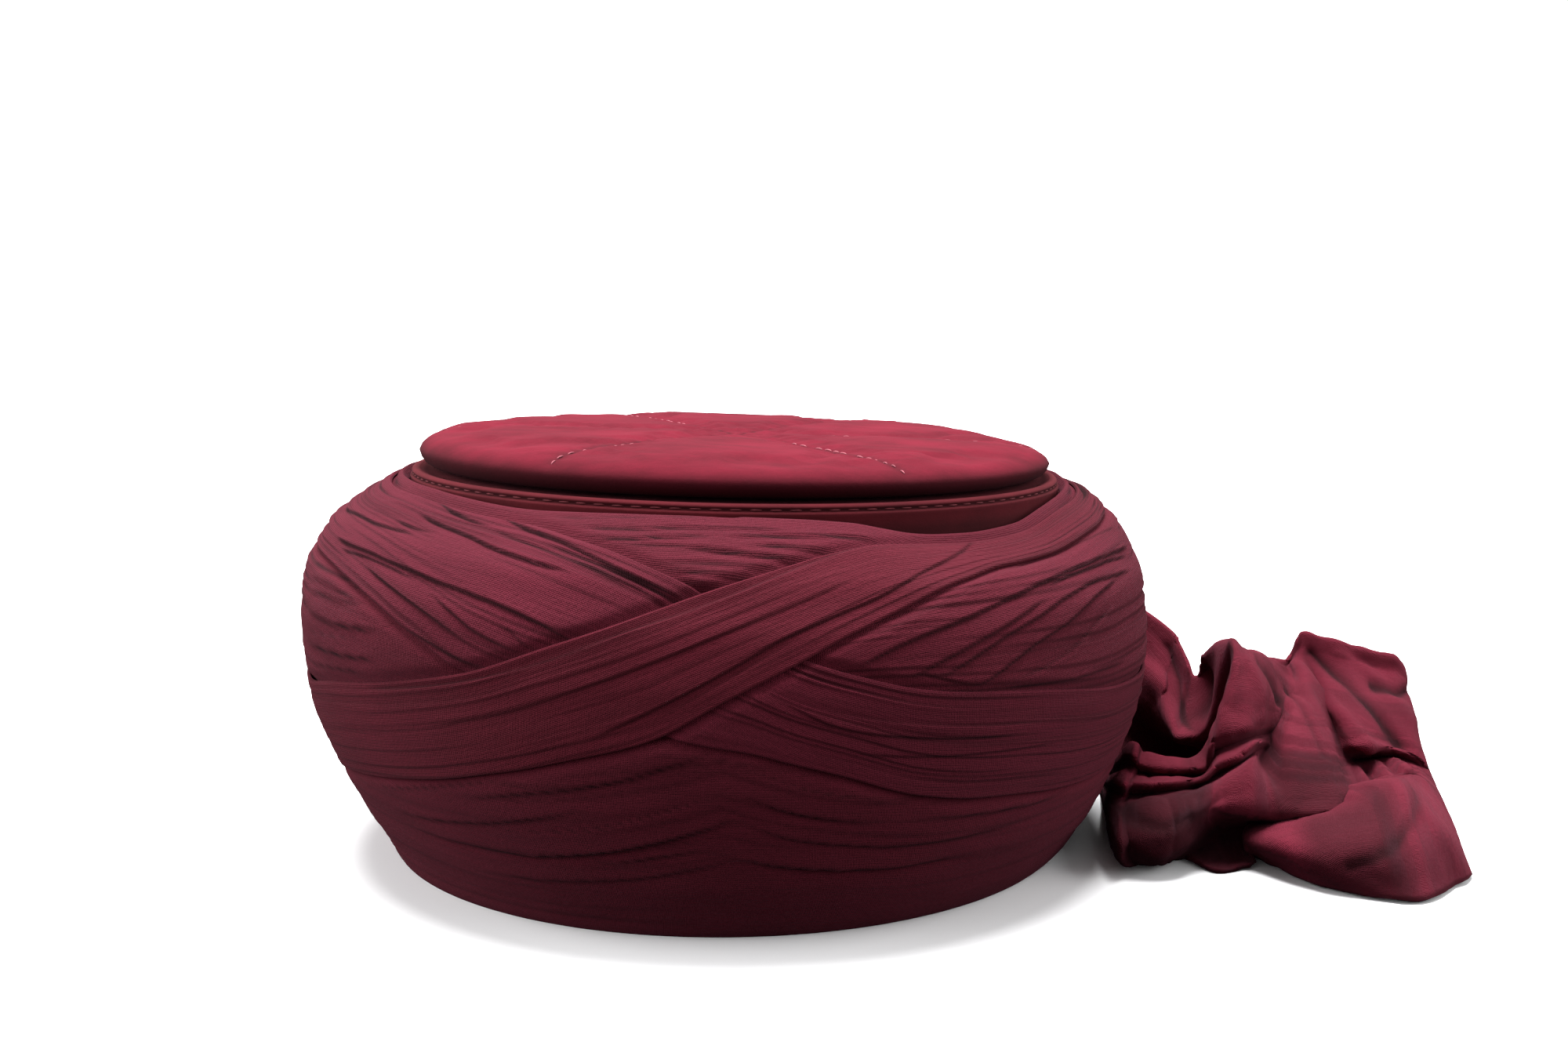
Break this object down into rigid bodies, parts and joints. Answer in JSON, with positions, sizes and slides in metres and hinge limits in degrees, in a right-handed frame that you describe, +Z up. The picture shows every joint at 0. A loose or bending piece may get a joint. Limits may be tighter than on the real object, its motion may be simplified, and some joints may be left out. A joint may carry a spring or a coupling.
{
  "type": "turban cap",
  "caption": "Round flat-topped cap with a quilted crown pad, ringed by wound cotton cloth that crosses at the front, its loose end lying beside it.",
  "frame": {"origin": "centre of the head opening, in the plane that the cap stands on", "axes": "+Z up, -Y towards the front where the turns cross, +X to the cap's own right in the picture, where the loose end lies"},
  "size_m": [0.3327, 0.2422, 0.1162],
  "materials": {
    "crown_suede": "suede nap",
    "wall_suede": "suede nap",
    "core_cotton": "gathered cotton",
    "right_cotton": "gathered cotton",
    "left_cotton": "gathered cotton",
    "sash_cotton": "folded cotton",
    "tail_cotton": "crumpled cotton"
  },
  "bodies": {
    "root": {"crown_pad": "crown_suede", "cap_wall": "wall_suede", "wound_core": "core_cotton", "right_high_turn": "right_cotton", "left_high_turn": "left_cotton", "front_sash": "sash_cotton", "tail_cloth": "tail_cotton"}
  },
  "joints": []
}
